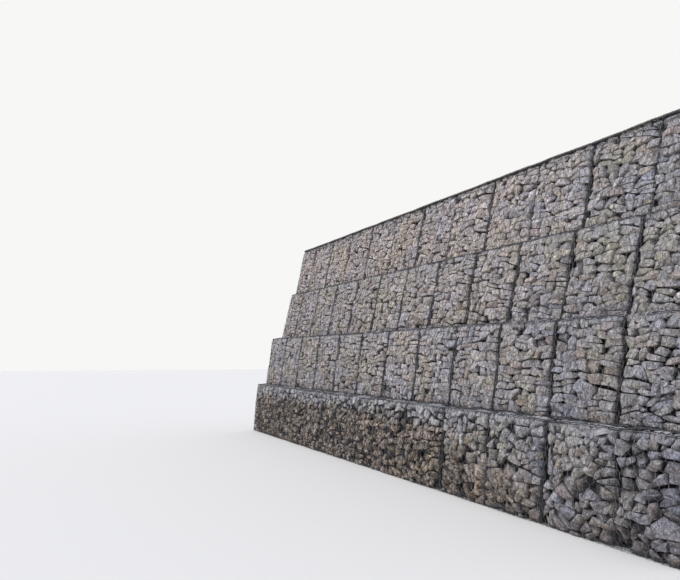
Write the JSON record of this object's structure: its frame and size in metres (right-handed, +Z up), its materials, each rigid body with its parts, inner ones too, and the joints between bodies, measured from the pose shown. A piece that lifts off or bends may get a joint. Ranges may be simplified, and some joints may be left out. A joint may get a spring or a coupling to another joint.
{
  "type": "gabion retaining wall",
  "caption": "Stepped retaining wall of stone-filled wire baskets that holds back a bank by its own weight.",
  "frame": {"origin": "on the ground, at the middle of the wall's footprint box", "axes": "+X along the wall, towards its right end seen from the front; +Y from the stepped face into the bank; +Z up"},
  "size_m": [12, 2.003, 4.0223],
  "materials": {
    "stone_fill": "rough",
    "laced_wire": "weathered",
    "lid_edge_wire": "weathered"
  },
  "bodies": {
    "root": {"base_cage": "laced_wire", "base_front_basket_01": "stone_fill", "base_front_basket_02": "stone_fill", "base_front_basket_03": "stone_fill", "base_front_basket_04": "stone_fill", "base_front_basket_05": "stone_fill", "base_front_basket_06": "stone_fill", "base_rear_basket_01": "stone_fill", "base_rear_basket_02": "stone_fill", "base_rear_basket_03": "stone_fill", "lid_edge_roll": "lid_edge_wire", "second_basket_01": "stone_fill", "second_basket_02": "stone_fill", "second_basket_03": "stone_fill", "second_basket_04": "stone_fill", "second_basket_05": "stone_fill", "second_basket_06": "stone_fill", "second_basket_07": "stone_fill", "second_basket_08": "stone_fill", "second_basket_09": "stone_fill", "second_basket_10": "stone_fill", "second_basket_11": "stone_fill", "second_basket_12": "stone_fill", "second_cage": "laced_wire", "third_basket_01": "stone_fill", "third_basket_02": "stone_fill", "third_basket_03": "stone_fill", "third_basket_04": "stone_fill", "third_basket_05": "stone_fill", "third_basket_06": "stone_fill", "third_basket_07": "stone_fill", "third_basket_08": "stone_fill", "third_basket_09": "stone_fill", "third_basket_10": "stone_fill", "third_basket_11": "stone_fill", "third_basket_12": "stone_fill", "third_cage": "laced_wire", "top_basket_01": "stone_fill", "top_basket_02": "stone_fill", "top_basket_03": "stone_fill", "top_basket_04": "stone_fill", "top_basket_05": "stone_fill", "top_basket_06": "stone_fill", "top_cage": "laced_wire"}
  },
  "joints": []
}
